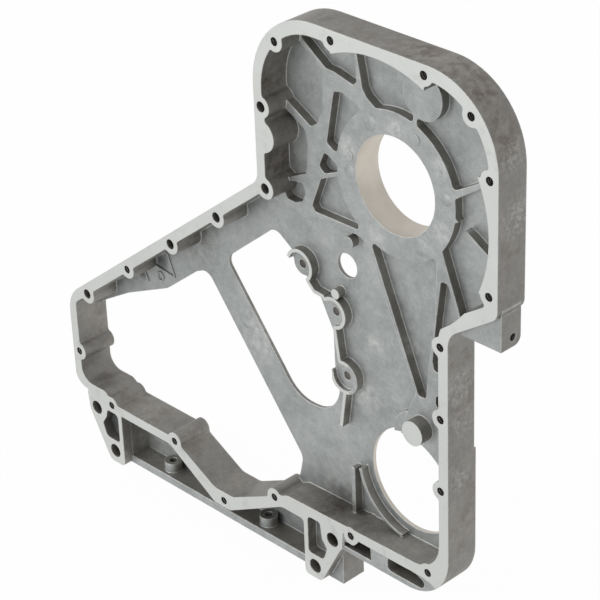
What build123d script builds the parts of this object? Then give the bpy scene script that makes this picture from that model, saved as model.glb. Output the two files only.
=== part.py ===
"""Gear housing: one aluminium casting that carries a pump, a gear train and the sump rail of an engine.

The frame's origin is the centre of the pump bore on the pad's front face.
+X runs right, +Y runs rearwards into the casting and +Z runs up. Sizes are millimetres.
"""
import os
from math import cos, hypot, radians, sin

from build123d import *

# Depths along Y, from the cover flange at the front to the pump collar at the back
flange_y = -25.0
pad_y = 0.0
floor_y = 10.5
web = 4.0
land = 5.5
low_land = 2.5
collar_back = 32.2
web_back = floor_y + web
land_back = web_back + land

# Outer outline
lobe_left = -171.5
lobe_right = 156.0
lobe_top = 156.6
lobe_corner_r = 88.0
shelf_z = -79.4
shelf_slope = 0.68
arm_x = 92.2
arm_corner_r = 60.0
foot_z = -455.0
left_end = -511.5
strip_z = -442.5
dip_z = -489.0
diagonal_z = 91.2
diagonal_slope = 0.776

# Wall thickness round the gear chamber
side_wall = 11.5
top_wall = 14.6
arm_wall = 12.7
end_wall = 11.8
strip_wall = 11.5
diagonal_wall = 12.6
chamber_floor_z = -417.0

# Pump bore, its pad and the gear that turns round it
bore_r = 53.5
pad_r = 80.0
gear_clear_r = 144.5
gear_wall_w = 122.0
collar_r = 78.0
stud_circle_r = 65.0
stud_hole_r = 4.2
stud_hole_depth = 20.0
stud_count = 6
stud_turn = 4.0
cover_boss_r = 25.5
cover_boss = (38, 108)

# Cover bolts and dowels
bolt_r = 4.7
bolt_boss_r = 11.0
dowel_r = 6.0
dowel_boss_r = 12.0
bolt_depth = 28.0

# Fillets in plan
blend_r = 4.0
rib_w = 4.6

# Crankshaft seal hole, stub boss and the round hole by the timing window
seal_hole = (13, -346)
seal_hole_r = 61.0
seal_ridge_r = 71.8
seal_ridge_w = 3.6
stub = (34.3, -265.8)
stub_r = 14.0
stub_y = -16.0
stub_base = (22, -285)
stub_base_r = 30.5
stub_base_y = 2.5
sight_hole = (-79.5, -122.5)
sight_hole_r = 14.0

# Scalloped rim beside the long window
rim_wall = 4.0
seat_y = 5.5
seat_r = 12.8
seat_hole_r = 5.0

# Sump rail, its two ears and the closed channel above it
rail_z = -514.0
rail_t = 10.0
rail_front = -12.0
rail_right = -76.0
rail_left = -446.0
ear_middle_x = -277.5
ear_reach = 154.5
ear_t = 13.0
ear_hole_r = 8.7
pan_boss_r = 10.5
pan_boss_h = 22.0
pan_hole_r = 5.0
pan_boss_x = (-375, -211)

# Lug under the lobe and the boxed foot at lower right
lug_left = 104.0
lug_z = -119.0
lug_front = -19.0
lug_back = 9.5
lug_hole_r = 4.5
lug_corner_r = 9.0
face_step = 1.5
strip_low = -431.5


def depth(y):
    """Sketch plane that faces the front at depth y."""
    return Plane.XZ.offset(-y)


def diagonal(x, inset=0.0):
    """Height of the sloping wall at x, moved inwards square to the wall by inset."""
    return diagonal_z + diagonal_slope * x - inset * hypot(1, diagonal_slope)


def outline(corners):
    """Closed face from corners given as (x, z, radius)."""
    with BuildSketch() as area:
        with BuildLine():
            FilletPolyline(
                *[(x, z) for x, z, r in corners], radius=[r for x, z, r in corners], close=True
            )
        make_face()
    return area.sketch


def polygon(corners):
    """Closed face with sharp corners."""
    with BuildSketch() as area:
        with BuildLine():
            Polyline(*corners, close=True)
        make_face()
    return area.sketch


def rounded(area, radius):
    """The same area with its outer corners rounded."""
    with BuildSketch() as result:
        for face in area.faces():
            with BuildSketch(mode=Mode.PRIVATE) as soft:
                add(face)
                offset(amount=-radius)
                offset(amount=radius)
            add(soft.sketch)
    return result.sketch


bolts = [
    (-138, 122), (-59, 145.5), (63, 145.5), (122, 122), (145, 63.5), (145, -59),
    (82, -140), (82, -224), (82, -310.5), (63, -422), (-50, -430), (-169, -435),
    (-255, -480), (-336, -435), (-448, -434), (-501, -380), (-398, -231),
]
dowels = [(-476, -292.5), (-319, -170), (-240, -109), (-161, -48), (-162, 44)]

shelf_drop = shelf_slope * (lobe_right - arm_x)
body_area = outline([
    (lobe_left, lobe_top, lobe_corner_r),
    (lobe_right, lobe_top, lobe_corner_r),
    (lobe_right, shelf_z, 14),
    (arm_x, shelf_z - shelf_drop, 25),
    (arm_x, foot_z, arm_corner_r),
    (-122.5, foot_z, 1),
    (-122.5, strip_z, 6),
    (-158, strip_z, 20),
    (-245, dip_z, 12),
    (-271, dip_z, 12),
    (-345, strip_z, 15),
    (-491, strip_z, 2),
    (-491, -428, 3),
    (left_end, -428, 18),
    (left_end, diagonal(left_end), 45),
    (lobe_left, diagonal(lobe_left), 20),
])

chamber_top = lobe_top - top_wall
chamber_right = lobe_right - side_wall
arm_inside = arm_x - arm_wall
end_inside = left_end + end_wall
strip_inside = strip_z + strip_wall
lobe_inside = lobe_left + side_wall
inner_corner_r = lobe_corner_r - side_wall
with BuildSketch() as chamber:
    add(outline([
        (lobe_inside, chamber_top, inner_corner_r),
        (chamber_right, chamber_top, inner_corner_r),
        (chamber_right, -68.5, 10),
        (arm_inside, -112, 45),
        (arm_inside, chamber_floor_z, 38),
        (-148, chamber_floor_z - 6, 20),
        (-240, dip_z + 20.5, 18),
        (-270, dip_z + 20.5, 18),
        (-338, strip_inside, 10),
        (-440, strip_inside, 8),
        (-460, strip_inside + 12, 8),
        (end_inside, strip_inside + 12, 18),
        (end_inside, diagonal(end_inside, diagonal_wall), 9),
        (lobe_inside, diagonal(lobe_inside, diagonal_wall), 12),
    ]))
    with Locations((2, chamber_top), (chamber_right, 2)):
        Rectangle(gear_wall_w, gear_wall_w, mode=Mode.SUBTRACT)
    Circle(gear_clear_r)
    with Locations(*bolts):
        Circle(bolt_boss_r, mode=Mode.SUBTRACT)
    with Locations(*dowels):
        Circle(dowel_boss_r, mode=Mode.SUBTRACT)
    with Locations((-163, 11)):
        Circle(18, mode=Mode.SUBTRACT)
chamber_area = rounded(chamber.sketch, blend_r)


plateau_pockets = [
    [(-175, 60), (-152, 48), (-116, 28), (-107, 34), (-98, 52), (-97, 95), (-127, 117), (-150, 145), (-185, 145)],
    [(-125, 122), (-92, 99), (-81, 98.5), (-54, 92), (-49.5, 97), (-53, 135), (-60, 165), (-135, 165)],
    [(-49, 127), (-42, 92), (-37, 84.5), (0, 60), (26, 60), (25, 165), (-45, 165)],
    [(30, 60), (77, 22), (83, 24), (113, 42), (165, 72), (165, 165), (30, 165)],
    [(74, 9), (113, 36), (165, 68), (165, -62), (122, -33), (74, -5)],
    [(85, -10), (70, -17), (60, -45), (84, -108), (90, -125), (135, -105), (165, -70), (126, -41)],
    [(-82, 77), (-71, 79), (-30, 63), (-60, 13), (-80, 9), (-94, 17)],
    [(-98, 5), (-91, 3), (-76, -6), (-77, -10), (-98, -19), (-106, -13)],
    [(-104, -27), (-70, -11), (-40, -55), (-52, -67), (-114, -67.5), (-118, -62)],
    [(-175, 38), (-150, 36), (-125, 22), (-121, 5), (-125, -28), (-150, -40), (-175, -45)],
    [(-165, -47), (-130, -40), (-127, -52), (-132, -62), (-143, -67), (-155, -66)],
]
panel_pockets = [
    [(-520, -71), (-185, -71), (-130, -79), (-116, -73.5), (-52, -73), (-38, -80), (25, -229), (10, -262),
     (0, -300), (30, -330), (140, -330), (140, -500), (-520, -500)],
    [(0, -40), (-33, -40), (-36, -72), (29, -230), (39.5, -229), (44, -185), (52.6, -133), (55.5, -60)],
    [(60.5, -84), (70, -84), (88, -125), (140, -125), (140, -191), (51, -191), (48.5, -181), (53.5, -136),
     (58, -103)],
    [(53, -219), (140, -219), (140, -233), (53, -233)],
]
with BuildSketch() as pockets:
    for corners in plateau_pockets + panel_pockets:
        add(polygon(corners))
    Circle(pad_r, mode=Mode.SUBTRACT)
    with Locations(cover_boss):
        Circle(cover_boss_r, mode=Mode.SUBTRACT)
with BuildSketch() as pocket_floor:
    add(rounded(pockets.sketch, blend_r))
    add(chamber_area, mode=Mode.INTERSECT)

seats = {(-141, -141): 19.0, (-93, -180): 18.5, (-79, -253): 19.5}
necks = [
    [(-141, -141), (-119, -162), (-106, -163), (-93, -180), (-141, -200)],
    [(-93, -180), (-88, -203), (-84, -230), (-79, -253), (-130, -253), (-130, -180)],
]
with BuildSketch() as rim:
    for place, radius in seats.items():
        with Locations(place):
            Circle(radius)
    for corners in necks:
        add(polygon(corners))
with BuildSketch() as inside_rim:
    add(rim.sketch)
    offset(amount=-rim_wall)

with BuildSketch() as long_window:
    add(outline([
        (-268, -182, 12), (-187, -116, 14), (-150, -141, 4), (-116, -170, 4),
        (-98, -205, 6), (-95, -315, 40), (-162, -317, 44),
    ]))
    with Locations(*seats):
        Circle(seat_r, mode=Mode.SUBTRACT)
long_window_area = rounded(long_window.sketch, blend_r)

with BuildSketch() as corner_window:
    add(outline([
        (-520, -345, 3), (-487, -319, 4), (-443, -293, 40), (-372, -260, 30), (-320, -219, 8),
        (-300, -209, 14), (-157, -393, 16), (-165, -425, 10), (-200, -500, 5), (-520, -500, 5),
    ]))
    add(chamber_area, mode=Mode.INTERSECT)

left_walls = polygon([(-520, -500), (-520, -40), (-150, 180), (-150, -60), (-275, -155), (-275, -500)])
lower_arm = polygon([(60, -272), (100, -272), (100, -460), (60, -460)])

with BuildPart() as gear_housing:
    # Solid block of the casting
    with BuildSketch(depth(flange_y)):
        add(body_area)
    extrude(amount=-(web_back - flange_y))

    # Rear land behind the left walls and behind the lower arm
    with BuildSketch(depth(web_back)):
        add(body_area)
        add(chamber_area, mode=Mode.SUBTRACT)
        add(left_walls, mode=Mode.INTERSECT)
    extrude(amount=-land)
    with BuildSketch(depth(web_back)):
        add(body_area)
        add(chamber_area, mode=Mode.SUBTRACT)
        add(lower_arm, mode=Mode.INTERSECT)
    extrude(amount=-low_land)

    # Gear chamber and its pockets
    with BuildSketch(depth(flange_y)):
        add(chamber_area)
    extrude(amount=-(pad_y - flange_y), mode=Mode.SUBTRACT)
    with BuildSketch(depth(pad_y)):
        add(pocket_floor.sketch)
    extrude(amount=-(floor_y - pad_y), mode=Mode.SUBTRACT)

    # Scalloped rim with its three bolt seats
    with BuildSketch(depth(pad_y)):
        add(rim.sketch)
        with Locations((-88.5, -155.5)):
            Circle(5.7)
    extrude(amount=-(floor_y + web / 2 - pad_y))
    with BuildSketch(depth(pad_y)):
        add(inside_rim.sketch)
    extrude(amount=-(seat_y - pad_y), mode=Mode.SUBTRACT)

    # Ribs of the lower panel and the ridge round the seal hole
    with BuildSketch(depth(pad_y)):
        with BuildLine():
            Line((-68.5, -430), (-68.5, -362))
        trace(line_width=rib_w)
        with BuildLine():
            Line((-78, -270), (-85, -316))
        trace(line_width=rim_wall)
        with BuildLine():
            CenterArc(seal_hole, seal_ridge_r, 190, 72)
        trace(line_width=seal_ridge_w)
        with Locations((-67, -87)):
            Circle(6.5)
    extrude(amount=-(floor_y + web / 2 - pad_y))

    # Stub boss on its round base, beside the seal hole
    with BuildSketch(depth(stub_base_y)):
        with Locations(stub_base):
            Circle(stub_base_r)
    extrude(amount=-(floor_y + web / 2 - stub_base_y))
    with BuildSketch(depth(stub_y)):
        with Locations(stub):
            Circle(stub_r)
    extrude(amount=-(floor_y + web / 2 - stub_y))

    # Collar behind the pump bore
    with BuildSketch(depth(floor_y)):
        Circle(collar_r)
    extrude(amount=-(collar_back - floor_y))

    # Sump rail under the housing and the thin wall that closes the channel above it
    with BuildSketch(depth(rail_front)):
        add(polygon([
            (rail_left, rail_z), (rail_right, rail_z), (rail_right, rail_z + rail_t), (rail_left, rail_z + rail_t)
        ]))
    extrude(amount=-(land_back - rail_front))
    with BuildSketch(depth(web_back)):
        add(polygon([
            (rail_left, rail_z), (rail_right, rail_z), (rail_right, strip_inside), (rail_left, strip_inside)
        ]))
        add(chamber_area, mode=Mode.SUBTRACT)
    extrude(amount=-land)
    with BuildSketch(Plane.XY.offset(rail_z)):
        with Locations(*[(x, (rail_front + web_back) / 2 + 2) for x in pan_boss_x]):
            Circle(pan_boss_r)
    extrude(amount=pan_boss_h)

    # Block behind the right ear, and the two ears
    with BuildSketch(depth(rail_front)):
        add(outline([
            (ear_middle_x + ear_reach, rail_z, 0), (rail_right, rail_z, 0),
            (rail_right, foot_z + 2, 0), (ear_middle_x + ear_reach, foot_z + 2, 0),
        ]))
    extrude(amount=-(land_back - rail_front))
    for side in (-1, 1):
        with BuildSketch(depth(flange_y)):
            add(outline([
                (ear_middle_x + side * x, z, r)
                for x, z, r in (
                    (ear_reach, strip_inside, 0), (ear_reach, rail_z, 6), (180, rail_z, 9),
                    (212, -455, 12), (215, -428, 4), (205, strip_inside, 0),
                )
            ]))
            add(chamber_area, mode=Mode.SUBTRACT)
        extrude(amount=-ear_t)

    # Windows and round holes through the web
    with BuildSketch(depth(flange_y)):
        add(long_window_area)
        add(corner_window.sketch)
        Circle(bore_r)
        with Locations(seal_hole):
            Circle(seal_hole_r)
        with Locations(sight_hole):
            Circle(sight_hole_r)
    extrude(amount=-(collar_back - flange_y + 1), mode=Mode.SUBTRACT)

    # Pockets, bolt holes and pin holes of the ears
    for side, rise in ((-1, 0), (1, 9)):
        with BuildSketch(depth(flange_y)):
            add(outline([
                (ear_middle_x + side * x, z, r)
                for x, z, r in (
                    (160.5, -483, 5), (184, -483, 8), (190, -466, 4), (182.5, -455, 4),
                    (180, -444 + rise, 4), (160.5, -444 + rise, 6),
                )
            ]))
        extrude(amount=-ear_t, mode=Mode.SUBTRACT)
        with BuildSketch(depth(flange_y)):
            with Locations((ear_middle_x + side * 199, -448.8), (ear_middle_x + side * 170.5, -498)):
                Circle(ear_hole_r)
        extrude(amount=-ear_t, mode=Mode.SUBTRACT)

    # Boxed foot: its face lies back from the flange and has two deep slots
    with BuildSketch(depth(flange_y)):
        add(polygon([(-62, strip_low), (60, strip_low), (75, -437), (60, foot_z), (-64, foot_z)]))
        with Locations(*bolts):
            Circle(bolt_boss_r, mode=Mode.SUBTRACT)
    extrude(amount=-face_step, mode=Mode.SUBTRACT)
    with BuildSketch(depth(flange_y)):
        add(outline([
            (-62, -449, 1), (-62, -443, 2), (-46, -441, 6), (-38, -432, 4), (-22, -432, 3), (-21, -449, 1),
        ]))
        add(outline([
            (3, -446, 4), (3, -433, 4), (40, -431, 8), (62, -440, 6), (52, -448.5, 5), (8, -448.5, 4),
        ]))
    extrude(amount=-(floor_y - flange_y), mode=Mode.SUBTRACT)

    # Lug under the lobe, with a hole in its side
    with BuildSketch(depth(lug_front)):
        add(polygon([
            (lobe_right, shelf_z), (lobe_right, lug_z), (lug_left, lug_z),
            (lug_left, shelf_z - shelf_slope * (lobe_right - lug_left)),
        ]))
    extrude(amount=-(lug_back - lug_front))
    lug_edges = gear_housing.edges().filter_by(Axis.X).filter_by_position(Axis.Z, lug_z - 1, lug_z + 1)
    fillet(lug_edges.sort_by(Axis.Y)[-1], lug_corner_r)
    with BuildSketch(Plane.YZ.offset(lobe_right)):
        with Locations((-2, lug_z + 10.5)):
            Circle(lug_hole_r)
    extrude(amount=-22, mode=Mode.SUBTRACT)

    # Bolt holes, dowel holes, stud holes and pan holes
    with Locations(*[Location((x, flange_y, z), (90, 0, 0)) for x, z in bolts]):
        Hole(bolt_r, bolt_depth)
    with Locations(*[Location((x, flange_y, z), (90, 0, 0)) for x, z in dowels]):
        Hole(dowel_r)
    with Locations(*[Location((x, seat_y, z), (90, 0, 0)) for x, z in seats]):
        Hole(seat_hole_r)
    with Locations(Location((0, collar_back, 0), (-90, 0, 0))):
        with PolarLocations(stud_circle_r, stud_count, start_angle=stud_turn):
            Hole(stud_hole_r, stud_hole_depth)
    with Locations(*[(x, (rail_front + web_back) / 2 + 2, rail_z + pan_boss_h) for x in pan_boss_x]):
        Hole(pan_hole_r, pan_boss_h)

gear_housing.part.label = "gear_housing"
os.makedirs("parts", exist_ok=True)
export_step(gear_housing.part, "parts/gear_housing.step")
print(gear_housing.part.volume, gear_housing.part.is_valid, len(gear_housing.part.solids()))
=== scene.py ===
# %% [markdown]
# # A cast gear housing
#
# The part is one aluminium casting from the front of an engine. It was poured in a steel mould,
# blasted clean, and then machined only where other parts seat on it: the wide cover flange, the top
# of the low rim, the stub's end, the pump bore, the seal hole and the bolt holes. The solid comes
# from the fixed frame, so the work here is the finish: four sorts of metal skin, a few small forms
# on the solid, a floor, soft light and a camera. Sizes and places on the part are written in
# millimetres, and MM turns them into Blender's metres.

# %% Load the solid
from math import cos, pi, radians, sin

import bmesh
import bpy
from mathutils import Matrix, Vector


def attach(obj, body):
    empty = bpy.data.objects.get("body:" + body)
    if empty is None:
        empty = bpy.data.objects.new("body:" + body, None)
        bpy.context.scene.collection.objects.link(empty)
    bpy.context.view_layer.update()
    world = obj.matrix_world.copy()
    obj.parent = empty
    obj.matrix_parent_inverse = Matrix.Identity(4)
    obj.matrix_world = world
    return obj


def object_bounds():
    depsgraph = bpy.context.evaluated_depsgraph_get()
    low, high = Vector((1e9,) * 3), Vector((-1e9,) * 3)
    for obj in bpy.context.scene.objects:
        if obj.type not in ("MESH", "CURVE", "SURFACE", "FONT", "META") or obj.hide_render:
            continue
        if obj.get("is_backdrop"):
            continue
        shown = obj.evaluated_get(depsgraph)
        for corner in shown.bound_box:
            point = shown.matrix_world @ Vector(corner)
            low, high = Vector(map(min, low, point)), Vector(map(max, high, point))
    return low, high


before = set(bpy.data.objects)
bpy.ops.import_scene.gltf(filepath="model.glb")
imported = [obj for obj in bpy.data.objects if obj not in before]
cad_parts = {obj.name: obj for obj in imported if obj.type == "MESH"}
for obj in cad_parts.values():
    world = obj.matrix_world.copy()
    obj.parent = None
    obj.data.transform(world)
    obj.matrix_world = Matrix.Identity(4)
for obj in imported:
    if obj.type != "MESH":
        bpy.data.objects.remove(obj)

bpy.context.view_layer.update()
cad_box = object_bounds()
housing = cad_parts["gear_housing"]
MM = 0.001
print("solid:", [tuple(round(v / MM, 1) for v in corner) for corner in cad_box])

# %% [markdown]
# ## Colours and nodes
#
# A colour picker gives sRGB values, but Blender's shaders add up light, which is linear. One
# function turns the first into the second. A second one adds a node, sets its fields and joins its
# inputs, so that each material below reads like a recipe from top to bottom.


# %% Helpers for materials
def colour(code):
    """Linear RGBA from an sRGB hex code."""
    parts = [int(code[i:i + 2], 16) / 255 for i in (0, 2, 4)]
    linear = [c / 12.92 if c <= 0.04045 else ((c + 0.055) / 1.055) ** 2.4 for c in parts]
    return (*linear, 1.0)


def add(tree, kind, inputs=None, **settings):
    """A new node. Inputs are values or other nodes' outputs, by name or number."""
    made = tree.nodes.new(kind)
    for name, value in settings.items():
        setattr(made, name, value)
    for name, value in (inputs or {}).items():
        if isinstance(value, bpy.types.NodeSocket):
            tree.links.new(value, made.inputs[name])
        else:
            made.inputs[name].default_value = value
    return made


def new_material(name):
    """An empty node material and its tree."""
    material = bpy.data.materials.new(name)
    material.use_nodes = True
    material.node_tree.nodes.clear()
    return material, material.node_tree


def per_metre(size_mm):
    """The scale that makes a pattern repeat about once in size_mm."""
    return 1 / (size_mm * MM)


# %% [markdown]
# ## Blotches and spots
#
# No face of a casting is quite even, and nothing on it repeats. A picture wrapped around the part
# would need seams and would stretch on its walls. Patterns that are worked out from each point's
# place in the part have neither fault. Two of them do most of the work: blotches, which are noise
# with lumps of a chosen size, and spots, which fade out around a chosen place.

# %% Patterns
SPOT_CORE = 0.35  # share of a spot's radius within which it is at full strength


def blotches(tree, place, size_mm, detail, roughness, low, high, strongest=1.0):
    """Lumps of about size_mm: 0 where the noise is low, and at their strongest where it is high."""
    cloud = add(tree, "ShaderNodeTexNoise", {
        "Vector": place, "Scale": per_metre(size_mm), "Detail": detail, "Roughness": roughness})
    return add(tree, "ShaderNodeMapRange", {
        "Value": cloud.outputs["Fac"], "From Min": low, "From Max": high,
        "To Min": 0.0, "To Max": strongest}).outputs[0]


def spots(tree, place, centres):
    """1 at the middle of each spot and 0 beyond its radius. A centre is x, y, z and radius in mm."""
    total = 0.0
    for x, y, z, radius in centres:
        middle = (x * MM, y * MM, z * MM)
        far = add(tree, "ShaderNodeVectorMath", {0: place, 1: middle}, operation="DISTANCE")
        near = add(tree, "ShaderNodeMapRange", {
            "Value": far.outputs["Value"], "From Min": radius * MM,
            "From Max": radius * MM * SPOT_CORE, "To Min": 0.0, "To Max": 1.0})
        total = add(tree, "ShaderNodeMath", {0: total, 1: near.outputs[0]},
                    operation="MAXIMUM").outputs[0]
    return total


def laid_over(tree, skin, code, cover, strength=1.0):
    """The skin with a second colour over it where the cover is high."""
    share = add(tree, "ShaderNodeMath", {0: cover, 1: strength}, operation="MULTIPLY")
    return add(tree, "ShaderNodeMix", {
        "Factor": share.outputs[0], "A": skin, "B": colour(code)},
        data_type="RGBA").outputs["Result"]


# %% [markdown]
# ## As-cast aluminium
#
# The skin of a die casting takes the grain of the blasted steel mould. It is a dull grey with broad
# cloudy patches where the metal cooled at different speeds. Faces that look forwards or backwards
# are a cool, even grey, and walls are a darker, browner one.


# %% Cloudy grey
def wall_share(tree, square):
    """1 on walls and 0 on faces that look forwards or backwards."""
    facing = add(tree, "ShaderNodeSeparateXYZ", {0: square})
    flat = add(tree, "ShaderNodeMath", {0: facing.outputs["Y"]}, operation="ABSOLUTE")
    return add(tree, "ShaderNodeMapRange", {
        "Value": flat.outputs[0], "From Min": 0.75, "From Max": 0.35,
        "To Min": 0.0, "To Max": 1.0}).outputs[0]


def cast_grey(tree, clouds, patches, wall):
    """Grey between a dark and a light tone, cool on flat faces and warm on walls."""
    both = add(tree, "ShaderNodeMath", {0: clouds, 1: patches}, operation="ADD")
    tone = add(tree, "ShaderNodeMapRange", {
        "Value": both.outputs[0], "From Min": 0.7, "From Max": 1.3, "To Min": 0.0, "To Max": 1.0})
    cool, warm = (
        add(tree, "ShaderNodeMix", {
            "Factor": tone.outputs[0], "A": colour(dark), "B": colour(light)},
            data_type="RGBA").outputs["Result"]
        for dark, light in (("929695", "afb2b1"), ("8a8884", "a4a19c")))
    return add(tree, "ShaderNodeMix", {"Factor": wall, "A": cool, "B": warm},
               data_type="RGBA").outputs["Result"]


# %% [markdown]
# ## Marks
#
# The steel mould leaves brown drag marks on the walls, oil stains them, and handling leaves pale
# scratches and rubs. Colours painted on the mesh's corners would need a far finer mesh. Here each
# mark is a spot that blotches break up, so that none has a clean round edge.

# %% Stains, smears, scuffs and rubs
STAIN_SIZE = 26
SMEARS = [  # brown drag marks on walls
    (40, -6, 156, 40), (95, -8, 151, 36), (119, -6, 140, 26), (146, -10, 110, 24),
    (-160, -8, -22, 30), (-160, -14, 70, 26), (-330, -5, -160, 60), (-90, 0, -440, 60)]
SCUFFS = [  # pale scratches on the walls at the right
    (92, -8, -190, 26), (92, -2, -232, 20), (92, -8, -300, 18), (146, -4, 84, 22), (156, 0, 20, 26)]
RUBS = [  # pale skin where hands and the pump's flange have rubbed
    (1.5, 0, 61, 17), (-28, 0, -64, 14), (62, 0, -30, 15), (-64, 0, 22, 20), (60, 0, 40, 15),
    (-42, 10.5, -202, 16), (8, 10.5, -182, 15), (-220, 10.5, -262, 40), (-60, 10.5, -270, 30),
    (-416, 20, -495, 40)]
MARKS = [  # colour, size of the lumps, detail, roughness and range of the noise, strength, places
    ("67594f", 9, 3.0, 0.6, 0.42, 0.62, 0.55, SMEARS),
    ("c4c3bf", 5, 3.0, 0.6, 0.45, 0.65, 0.5, SCUFFS),
    ("cfd0cd", 8, 4.0, 0.65, 0.35, 0.65, 0.6, RUBS)]


def marked(tree, place, skin, wall):
    """The skin with its stains and then its marks laid over it."""
    stain = blotches(tree, place, STAIN_SIZE, 5.0, 0.7, 0.52, 0.7, strongest=0.4)
    skin = laid_over(tree, skin, "6d635b", stain, wall)
    for code, size_mm, detail, roughness, low, high, strength, centres in MARKS:
        broken = blotches(tree, place, size_mm, detail, roughness, low, high)
        mark = add(tree, "ShaderNodeMath", {0: broken, 1: spots(tree, place, centres)},
                   operation="MULTIPLY")
        skin = laid_over(tree, skin, code, mark.outputs[0], strength)
    return skin


# %% [markdown]
# ## Worn and highlighted edges, painted shade in pockets, and grain
#
# Corners of a casting are never sharp, since molten metal can't fill them. A Bevel node rounds the
# shading of every edge by the same small radius and leaves the mesh alone. Where this rounded
# direction turns away from the true face there is an edge, and it is painted lighter: partly the
# wear of the blast, partly a painted highlight. Deep narrow pockets and holes get painted shade. An
# Ambient
# Occlusion node finds them, and they end almost black. A fine mottle and the grit of the blast lie
# over everything, in colour and in relief.

# %% Edges, painted shade in pockets, and speckle
CAST_ROUNDING = 2.2
POCKET_DEPTH = 24
PAINTED_SHADE_SPOTS = [  # painted shade in corners, pockets and holes, beyond what the occlusion gives
    (-378, 10.5, -229, 13), (-415, 10.5, -256, 10), (-90, 4, -434, 40), (-452, -10, -466, 27),
    (-476, -10, -449, 13), (-448, -10, -498, 13)]


def edge_wear_and_highlight(tree, skin, rounded, square, patches):
    """The skin painted pale at its edges, as wear and as a painted highlight, more in some patches
    than in others.
    """
    same = add(tree, "ShaderNodeVectorMath", {0: rounded, 1: square}, operation="DOT_PRODUCT")
    edge = add(tree, "ShaderNodeMapRange", {
        "Value": same.outputs["Value"], "From Min": 0.995, "From Max": 0.8,
        "To Min": 0.0, "To Max": 0.8})
    patchy = add(tree, "ShaderNodeMapRange", {
        "Value": patches, "From Min": 0.3, "From Max": 0.6, "To Min": 0.45, "To Max": 1.0})
    # the pale edge colour is partly wear and partly a painted highlight
    return laid_over(tree, skin, "e2e3e0", edge.outputs[0], patchy.outputs[0])


def painted_shade_and_speckle(tree, place, skin, grain, mottle):
    """The skin with painted shade in its pockets and holes, and speckled all over."""
    # painted shade: the more a point is hemmed in, the darker its colour
    pocket = add(tree, "ShaderNodeAmbientOcclusion", {"Distance": POCKET_DEPTH * MM}, samples=8)
    shades = [  # a value, its range, and the shade at each end of it
        (pocket.outputs["AO"], 0.05, 0.3, 0.35, 1.0),
        (spots(tree, place, PAINTED_SHADE_SPOTS), 0.0, 1.0, 1.0, 0.45),
        (grain, 0.35, 0.65, 0.94, 1.05),
        (mottle, 0.3, 0.7, 0.91, 1.08)]
    total = 1.0
    for value, low, high, start, end in shades:
        shade = add(tree, "ShaderNodeMapRange", {
            "Value": value, "From Min": low, "From Max": high, "To Min": start, "To Max": end})
        total = add(tree, "ShaderNodeMath", {0: total, 1: shade.outputs[0]},
                    operation="MULTIPLY").outputs[0]
    return add(tree, "ShaderNodeMix", {"Factor": 1.0, "A": skin, "B": total},
               data_type="RGBA", blend_type="MULTIPLY").outputs["Result"]


# %% The whole cast skin
CLOUD_SIZE = 60
PATCH_SIZE = 12
MOTTLE_SIZE = 5
GRAIN_SIZE = 1.5  # real grit is near 0.3 mm: drawn coarser so that it shows
MOTTLE_DEPTH = 0.35
GRAIN_DEPTH = 0.15


def cast_aluminium():
    """Dull cloudy grey with marks, pale edges of wear and painted highlight, painted shade in
    pockets, and grain.
    """
    material, tree = new_material("cast_aluminium_skin")
    place = add(tree, "ShaderNodeTexCoord").outputs["Object"]
    square = add(tree, "ShaderNodeNewGeometry").outputs["Normal"]
    rounded = add(tree, "ShaderNodeBevel", {"Radius": CAST_ROUNDING * MM}, samples=8).outputs[0]
    clouds, patches, mottle, grain = (
        add(tree, "ShaderNodeTexNoise", {
            "Vector": place, "Scale": per_metre(size_mm), "Detail": detail,
            "Roughness": roughness}).outputs["Fac"]
        for size_mm, detail, roughness in (
            (CLOUD_SIZE, 3.0, 0.55), (PATCH_SIZE, 4.0, 0.6), (MOTTLE_SIZE, 5.0, 0.7),
            (GRAIN_SIZE, 2.0, 0.6)))

    wall = wall_share(tree, square)
    skin = cast_grey(tree, clouds, patches, wall)
    skin = marked(tree, place, skin, wall)
    # edges painted pale: wear and a painted highlight
    skin = edge_wear_and_highlight(tree, skin, rounded, square, patches)
    # painted shade in pockets and holes, then the real speckle
    skin = painted_shade_and_speckle(tree, place, skin, grain, mottle)

    fine = add(tree, "ShaderNodeBump", {
        "Strength": 0.35, "Distance": GRAIN_DEPTH * MM, "Height": grain, "Normal": rounded})
    coarse = add(tree, "ShaderNodeBump", {
        "Strength": 0.25, "Distance": MOTTLE_DEPTH * MM, "Height": mottle,
        "Normal": fine.outputs[0]})
    sheen = add(tree, "ShaderNodeMapRange", {
        "Value": patches, "From Min": 0.3, "From Max": 0.7, "To Min": 0.5, "To Max": 0.62})
    metal = add(tree, "ShaderNodeBsdfPrincipled", {
        "Base Color": skin, "Metallic": 0.75, "Roughness": sheen.outputs[0],
        "Normal": coarse.outputs[0]})
    add(tree, "ShaderNodeOutputMaterial", {"Surface": metal.outputs[0]})
    return material


# %% [markdown]
# ## Milled aluminium
#
# A face mill leaves a nearly white surface of fine overlapping arcs. At arm's length the arcs melt
# into a bright satin, a little duller where it was handled. They could be cut into the mesh, but
# they are far too fine for it. A wave texture draws them as rings around the pump bore's axis.

# %% Milled faces
ARC_SPACING = 3.77  # real feed marks are near 0.3 mm apart: drawn coarser so that they show
ARC_DEPTH = 0.05
MILLED_ROUNDING = 0.6
BRIGHT_SIZE = 40  # lumps of the slow drift between two bright tones
HANDLED_SIZE = 18
WAVE_REPEATS = 10 / pi  # ridges that a wave texture draws in each unit of its scale


def cloudy_tone(tree, place, size_mm, detail, roughness, dark, light):
    """A tone that drifts between two colours in lumps of about size_mm."""
    cloud = add(tree, "ShaderNodeTexNoise", {
        "Vector": place, "Scale": per_metre(size_mm), "Detail": detail, "Roughness": roughness})
    return add(tree, "ShaderNodeMix", {
        "Factor": cloud.outputs["Fac"], "A": colour(dark), "B": colour(light)},
        data_type="RGBA").outputs["Result"]


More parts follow.
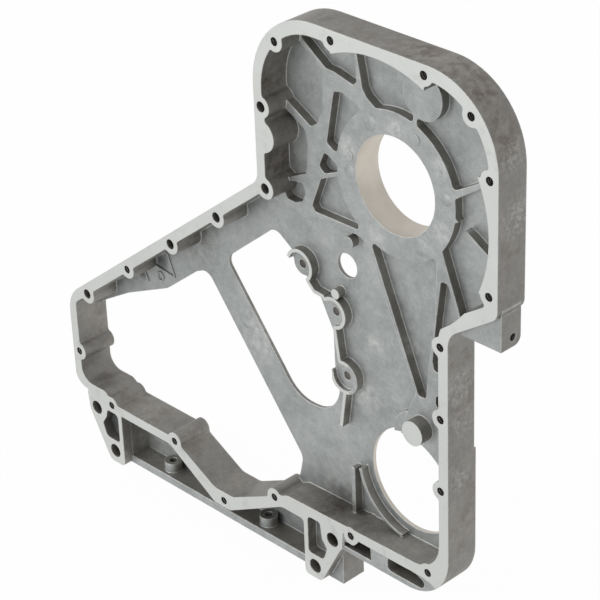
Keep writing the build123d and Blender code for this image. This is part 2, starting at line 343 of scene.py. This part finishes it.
def milled_aluminium():
    """Bright satin with fine arcs."""
    material, tree = new_material("milled_aluminium")
    place = add(tree, "ShaderNodeTexCoord").outputs["Object"]
    arcs = add(tree, "ShaderNodeTexWave", {
        "Vector": place, "Scale": per_metre(ARC_SPACING) / WAVE_REPEATS, "Distortion": 1.2,
        "Detail": 2.0, "Detail Scale": 1.5}, wave_type="RINGS", rings_direction="Y").outputs["Fac"]
    tone = cloudy_tone(tree, place, BRIGHT_SIZE, 3.0, 0.5, "c6c8c5", "d1d3d0")
    handled = blotches(tree, place, HANDLED_SIZE, 5.0, 0.7, 0.56, 0.72, strongest=0.35)
    tone = laid_over(tree, tone, "a9a8a3", handled)
    rounded = add(tree, "ShaderNodeBevel", {"Radius": MILLED_ROUNDING * MM}, samples=4)
    bump = add(tree, "ShaderNodeBump", {
        "Strength": 0.08, "Distance": ARC_DEPTH * MM, "Height": arcs,
        "Normal": rounded.outputs[0]})
    sheen = add(tree, "ShaderNodeMapRange", {
        "Value": arcs, "From Min": 0.0, "From Max": 1.0, "To Min": 0.42, "To Max": 0.5})
    metal = add(tree, "ShaderNodeBsdfPrincipled", {
        "Base Color": tone, "Metallic": 1.0, "Roughness": sheen.outputs[0],
        "Normal": bump.outputs[0]})
    add(tree, "ShaderNodeOutputMaterial", {"Surface": metal.outputs[0]})
    return material


# %% [markdown]
# ## Bored and tapped walls
#
# The pump bore and the seal hole were opened up with a boring bar, which leaves fine rings, and a
# film of oil warms their colour. The bolt holes are tapped, and their thread is drawn as dark and
# bright lines: painted shade in its roots and a painted highlight on its crests. A real spiral in
# all the holes would take many thousands of faces, and at this size a spiral looks just like rings,
# so both finishes are bands of a wave texture along the depth.

# %% Bored and tapped walls
RING_SPACING = 1.508  # real rings are near 0.2 mm apart: drawn coarser so that they show
RING_DEPTH = 0.05
OILY_SIZE = 22
THREAD_SPACING = 2.827  # real turns are near 1.5 mm apart: drawn coarser too
THREAD_DEPTH = 0.6


def bored_aluminium():
    """Warm satin with the rings of a boring bar."""
    material, tree = new_material("bored_aluminium")
    place = add(tree, "ShaderNodeTexCoord").outputs["Object"]
    rings = add(tree, "ShaderNodeTexWave", {
        "Vector": place, "Scale": per_metre(RING_SPACING) / WAVE_REPEATS, "Distortion": 0.6,
        "Detail": 1.0}, wave_type="BANDS", bands_direction="Y").outputs["Fac"]
    tone = cloudy_tone(tree, place, OILY_SIZE, 4.0, 0.6, "cac3b8", "e4ded4")
    bump = add(tree, "ShaderNodeBump", {
        "Strength": 0.1, "Distance": RING_DEPTH * MM, "Height": rings})
    metal = add(tree, "ShaderNodeBsdfPrincipled", {
        "Base Color": tone, "Metallic": 0.9, "Roughness": 0.5, "Normal": bump.outputs[0]})
    add(tree, "ShaderNodeOutputMaterial", {"Surface": metal.outputs[0]})
    return material


def tapped_aluminium():
    """A thread's rings: a painted highlight on the crests and painted shade in the roots."""
    material, tree = new_material("tapped_aluminium")
    place = add(tree, "ShaderNodeTexCoord").outputs["Object"]
    crests = add(tree, "ShaderNodeTexWave", {
        "Vector": place, "Scale": per_metre(THREAD_SPACING) / WAVE_REPEATS},
        wave_type="BANDS", bands_direction="Y").outputs["Fac"]
    # painted highlight on the crests and painted shade in the roots
    tone = add(tree, "ShaderNodeMix", {
        "Factor": crests, "A": colour("4c4a47"), "B": colour("cfcdc8")},
        data_type="RGBA").outputs["Result"]
    bump = add(tree, "ShaderNodeBump", {
        "Strength": 0.9, "Distance": THREAD_DEPTH * MM, "Height": crests})
    metal = add(tree, "ShaderNodeBsdfPrincipled", {
        "Base Color": tone, "Metallic": 1.0, "Roughness": 0.35, "Normal": bump.outputs[0]})
    add(tree, "ShaderNodeOutputMaterial", {"Surface": metal.outputs[0]})
    return material


# %% [markdown]
# ## Which faces were machined
#
# The solid arrives with one finish. Each triangle knows where it lies and which way it looks, and
# that is enough to tell what a cutter touched: flat faces at the depth of the flange, of the stub's
# end or of the rim's top, and the walls of the pump bore, the seal hole and the bolt holes.

# %% Where the cutters went
FLANGE_Y, STUB_Y, RIM_Y = -25 * MM, -16 * MM, 0.0
RIM_LOW, RIM_HIGH = Vector((-160 * MM, -320 * MM)), Vector((-72 * MM, -120 * MM))
BORE_R = 53.5 * MM
SEAL_HOLE = Vector((13 * MM, -346 * MM))
SEAL_HOLE_R = 61 * MM
THREADED_R = 4.8 * MM  # a little more than the radius of any bolt hole
STUD_CIRCLE_R, STUD_TURN, STUD_COUNT = 65, 4, 6
TAPPED_HOLES = [
    (-138, 122), (-59, 145.5), (63, 145.5), (122, 122), (145, 63.5), (145, -59), (82, -140),
    (82, -224), (82, -310.5), (63, -422), (-50, -430), (-169, -435), (-255, -480), (-336, -435),
    (-448, -434), (-501, -380), (-398, -231)]
stud_angles = [radians(STUD_TURN + 360 * k / STUD_COUNT) for k in range(STUD_COUNT)]
TAPPED_HOLES += [(STUD_CIRCLE_R * cos(a), STUD_CIRCLE_R * sin(a)) for a in stud_angles]
print("tapped holes:", len(TAPPED_HOLES))

# %% Give each face its finish
CAST, MILLED, BORED, TAPPED = range(4)
NEAR = 0.3 * MM  # how far a face may lie from the depth or radius that names it
FRONT, SIDEWAYS = -0.99, 0.1  # limits on how far a face looks along y


def finish_of(face):
    """The finish of one triangle of the housing."""
    depth = face.center.y
    spot = Vector((face.center.x, face.center.z))
    if face.normal.y < FRONT:
        on_rim = all(low < at < high for low, at, high in zip(RIM_LOW, spot, RIM_HIGH))
        milled_depths = (FLANGE_Y, STUB_Y, RIM_Y) if on_rim else (FLANGE_Y, STUB_Y)
        if any(abs(depth - y) < NEAR for y in milled_depths):
            return MILLED
    if abs(face.normal.y) < SIDEWAYS:
        from_walls = (spot.length - BORE_R, (spot - SEAL_HOLE).length - SEAL_HOLE_R)
        if any(abs(gap) < NEAR for gap in from_walls):
            return BORED
        if any((spot - Vector(hole) * MM).length < THREADED_R for hole in TAPPED_HOLES):
            return TAPPED
    return CAST


housing.data.materials.clear()
for material in (cast_aluminium(), milled_aluminium(), bored_aluminium(), tapped_aluminium()):
    housing.data.materials.append(material)
    print("finish:", material.name, "with", len(material.node_tree.nodes), "nodes")

count = [0, 0, 0, 0]
for face in housing.data.polygons:
    face.material_index = finish_of(face)
    count[face.material_index] += 1
print("triangles cast, milled, bored, tapped:", count)

# %% [markdown]
# ## Small straight forms
#
# The photograph shows a few forms that the solid doesn't have, and they are laid on it from here
# on. The strip of web under the sloping flange carries three thin stiffening webs. Each is a drawn
# outline in x and z, pushed from one depth to another. The same tool makes the two fillings at the
# end. A Bevel modifier rounds the edges, which is less work than drawing them round.


# %% Forms pushed from an outline
def seat_on_part(piece):
    """Put a piece in the scene. It moves with the casting."""
    bpy.context.scene.collection.objects.link(piece)
    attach(piece, "root")
    return piece


def prism(name, outline, front, back, rounding=0.6):
    """An outline of x and z in mm, solid from one depth to the other."""
    made = bmesh.new()
    ring = [made.verts.new((x * MM, front * MM, z * MM)) for x, z in outline]
    made.faces.new(ring)
    pushed = bmesh.ops.extrude_face_region(made, geom=made.faces[:])
    moved = [v for v in pushed["geom"] if isinstance(v, bmesh.types.BMVert)]
    bmesh.ops.translate(made, verts=moved, vec=(0, (back - front) * MM, 0))
    bmesh.ops.recalc_face_normals(made, faces=made.faces[:])
    shape = bpy.data.meshes.new(name)
    made.to_mesh(shape)
    made.free()
    shape.materials.append(housing.data.materials[CAST])
    piece = seat_on_part(bpy.data.objects.new(name, shape))
    edges = piece.modifiers.new("rounded edges", "BEVEL")
    edges.width = rounding * MM
    edges.segments = 3
    edges.angle_limit = radians(40)
    return piece


def web(name, start, end, width, front, back, steps=6):
    """A thin upright web between two points, with round ends."""
    a, b = Vector(start), Vector(end)
    along = (b - a).normalized() * width / 2
    half_turn = [radians(90 + 180 * k / steps) for k in range(steps + 1)]
    round_end = [Matrix.Rotation(t, 2) @ along for t in half_turn]
    return prism(name, [a + v for v in round_end] + [b - v for v in round_end], front, back)


# %% Webs
WEB_WIDTH, WEB_TOP_Y = 2.2, 9.0
BURIED_Y = 10.7  # just behind the strip's own face at 10.5, so that no gap shows
WEBS = [
    ("web_right", (-368, -212), (-357, -238)),
    ("web_long", (-402, -234), (-357, -240)),
    ("web_left", (-410, -250), (-404, -262))]
for name, start, end in WEBS:
    web(name, start, end, WEB_WIDTH, WEB_TOP_Y, BURIED_Y)
    print(name, "from", start, "to", end)

# %% [markdown]
# ## Small round forms
#
# Beside the webs stands the seat of a pin. The pump's pad carries four low domes, such as the
# ejector pins of a mould leave, and two flat spots. Each is a profile of radii and depths, turned
# about its own middle, as on a lathe. A squashed sphere would give the domes too steep an edge, so
# their profile is a parabola that meets the pad at a shallow slope.


# %% Forms turned from a profile
def turned(name, x, z, profile, steps=32):
    """A round form from radii and depths in mm. The last radius is 0, so the form is closed."""
    rows = [[((x + r * cos(2 * pi * k / steps)) * MM, y * MM, (z + r * sin(2 * pi * k / steps)) * MM)
             for k in range(steps)] for r, y in profile[:-1]]
    points = [point for row in rows for point in row] + [(x * MM, profile[-1][1] * MM, z * MM)]
    faces = []
    for row in range(len(rows) - 1):
        here, beyond = row * steps, (row + 1) * steps
        for k in range(steps):
            n = (k + 1) % steps
            faces.append((here + k, here + n, beyond + n, beyond + k))
    last = (len(rows) - 1) * steps
    faces += [(last + k, last + (k + 1) % steps, len(points) - 1) for k in range(steps)]
    shape = bpy.data.meshes.new(name)
    shape.from_pydata(points, [], faces)
    shape.materials.append(housing.data.materials[CAST])
    return seat_on_part(bpy.data.objects.new(name, shape))


# %% Pin seat
PIN_X, PIN_Z = -382, -248
turned("pin_seat", PIN_X, PIN_Z, [
    (6.2, 11.7), (6.2, 9.7), (5.4, 8.9), (4.2, 8.9), (4.2, BURIED_Y), (0, BURIED_Y)])
print("pin seat at", PIN_X, PIN_Z)

# %% Domes and spots on the pad
DOME_H, SPOT_H = 1.5, 0.8
SUNK = 0.1  # how far they reach into the pad, so that no gap shows


def dome(name, x, z, radius, steps=8):
    """A low lens-shaped swelling on the pad."""
    shares = [k / steps for k in range(steps, -1, -1)]
    return turned(name, x, z, [(radius * s, DOME_H * (s ** 2 - 1) + SUNK) for s in shares])


pad_domes = [(-32.8, 57.7, 9), (-62, -5.4, 8), (68, 8, 7), (35, -55.8, 10)]
for number, (x, z, radius) in enumerate(pad_domes):
    dome(f"pad_dome_{number}", x, z, radius)
pad_spots = [(28, 59.2), (-62.8, 13)]
for number, (x, z) in enumerate(pad_spots):
    turned(f"pad_spot_{number}", x, z, [(6, SUNK), (6, -0.5), (5.6, -SPOT_H), (0, -SPOT_H)])
print("on the pad:", len(pad_domes), "domes and", len(pad_spots), "flat spots")

# %% [markdown]
# ## Two fillings
#
# The left ear is solid behind its face, so that its pocket is blind and dark. A gusset fills the
# notch between the big lobe and the lug. Both are pushed from an outline, as the webs are.

# %% Ear and gusset
prism("left_ear_depth", [
    (-432.2, -513.8), (-452, -513.8), (-457, -511), (-460, -507.5), (-486.5, -459.5),
    (-488.8, -453), (-489.4, -446), (-489.2, -443), (-432.2, -443)], front=-12.1, back=19.9)
prism("lug_gusset", [
    (155.9, -72), (155.9, -81), (149.9, -83.8), (151.4, -82), (152.7, -80.6), (153.9, -79),
    (154.8, -77.3), (155.5, -75.4)], front=-18.9, back=9.4, rounding=0.05)
small = [o.name for o in bpy.data.objects if o.type == "MESH" and o is not housing]
print("added pieces:", small)

# %% [markdown]
# ## World and floor
#
# The studio is one pale floor under the part, in an even bright world that gives most of the
# light. Where the camera or a reflection looks at the floor, it is almost pure white, and it keeps
# a faint shadow. More light on the floor would whiten it too, but would also bleach the part.

# %% World and floor
WORLD_STRENGTH = 0.7
FLOOR_SIZE = 60.0  # metres, so that the camera sees nothing else behind the part
FLOOR_GAP = 1 * MM
WHITE_SHARE = 0.97  # of what the camera sees of the floor: the rest carries the shadow

world = bpy.data.worlds.new("studio")
bpy.context.scene.world = world
world.use_nodes = True
world.node_tree.nodes.clear()
air = add(world.node_tree, "ShaderNodeBackground", {
    "Color": colour("ffffff"), "Strength": WORLD_STRENGTH})
add(world.node_tree, "ShaderNodeOutputWorld", {"Surface": air.outputs[0]})


def floor_paint():
    """White to the camera and to reflections, and pale paper to the lamps."""
    material, tree = new_material("studio_floor")
    rays = add(tree, "ShaderNodeLightPath").outputs
    seen = add(tree, "ShaderNodeMath", {
        0: rays["Is Camera Ray"], 1: rays["Is Glossy Ray"]}, operation="MAXIMUM")
    shown = add(tree, "ShaderNodeMath", {
        0: seen.outputs[0], 1: rays["Is Transmission Ray"]}, operation="MAXIMUM")
    share = add(tree, "ShaderNodeMath", {0: shown.outputs[0], 1: WHITE_SHARE}, operation="MULTIPLY")
    paper = add(tree, "ShaderNodeBsdfDiffuse", {"Color": colour("f2f2f2")})
    white = add(tree, "ShaderNodeEmission", {"Color": colour("ffffff"), "Strength": 1.0})
    mixed = add(tree, "ShaderNodeMixShader", {
        0: share.outputs[0], 1: paper.outputs[0], 2: white.outputs[0]})
    add(tree, "ShaderNodeOutputMaterial", {"Surface": mixed.outputs[0]})
    return material


half = FLOOR_SIZE / 2
floor_z = cad_box[0].z - FLOOR_GAP
sheet = bpy.data.meshes.new("floor")
sheet.from_pydata(
    [(-half, -half, floor_z), (half, -half, floor_z), (half, half, floor_z), (-half, half, floor_z)],
    [], [(0, 1, 2, 3)])
floor = bpy.data.objects.new("floor", sheet)
bpy.context.scene.collection.objects.link(floor)
sheet.materials.append(floor_paint())
floor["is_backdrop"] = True
print("floor at", round(floor_z / MM, 1), "mm")

# %% [markdown]
# ## Lamps
#
# A big soft lamp in front, a little to the left, lifts the faces that look forwards, so that walls
# which face right or up stay darker. A small one from the upper left brings out the rounded edges.
# Both are area lamps: a sun or a point lamp would throw hard shadows that the photograph lacks.


# %% Lamps
def softbox(name, azimuth, elevation, distance, size, power):
    """A flat square lamp that faces the part. Degrees, metres and watts."""
    lamp = bpy.data.lights.new(name, "AREA")
    lamp.shape = "SQUARE"
    lamp.size = size
    lamp.energy = power
    made = bpy.data.objects.new(name, lamp)
    a, e = radians(azimuth), radians(elevation)
    away = Vector((sin(a) * cos(e), -cos(a) * cos(e), sin(e)))
    middle = (cad_box[0] + cad_box[1]) / 2
    made.location = middle + away * distance
    made.rotation_euler = (-away).to_track_quat("-Z", "Y").to_euler()
    bpy.context.scene.collection.objects.link(made)
    print(name, "at", [round(v, 2) for v in made.location], "m")


softbox("key", azimuth=-14, elevation=1, distance=5.0, size=3.0, power=105)
softbox("corner_light", azimuth=-52, elevation=38, distance=3.5, size=1.4, power=24)

# %% [markdown]
# ## Camera
#
# The part is seen from the front right and from above with a long lens. The view direction is
# written as two turns and a small roll, and the camera stands back from a point near the bore.

# %% Camera
AZIMUTH, ELEVATION, ROLL = 46.74, 29.70, -2.25  # degrees
AIM = Vector((-0.0277, -0.1071, -0.0934))  # metres, as is the distance
DISTANCE = 2.263
LENS = 138.82

camera = bpy.data.objects.new("camera", bpy.data.cameras.new("camera"))
camera.data.lens = LENS
camera.data.clip_end = 100
turn = (Matrix.Rotation(radians(AZIMUTH), 4, "Z") @ Matrix.Rotation(radians(90 - ELEVATION), 4, "X")
        @ Matrix.Rotation(radians(ROLL), 4, "Z"))
camera.matrix_world = Matrix.Translation(AIM) @ turn @ Matrix.Translation((0, 0, DISTANCE))
bpy.context.scene.collection.objects.link(camera)
bpy.context.scene.camera = camera
bpy.context.scene.view_settings.view_transform = "Standard"
print("camera at", [round(v, 3) for v in camera.matrix_world.translation], "m")

# %% [markdown]
# ## Boxes
#
# The box of the solid and the box of everything that is seen are printed side by side, so that one
# can see whether the small forms stay inside the solid's box.

# %% Print the boxes
boxes = {"cad": cad_box, "visual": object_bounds()}
for name, box in boxes.items():
    print("box", name, [tuple(round(v / MM, 1) for v in corner) for corner in box])
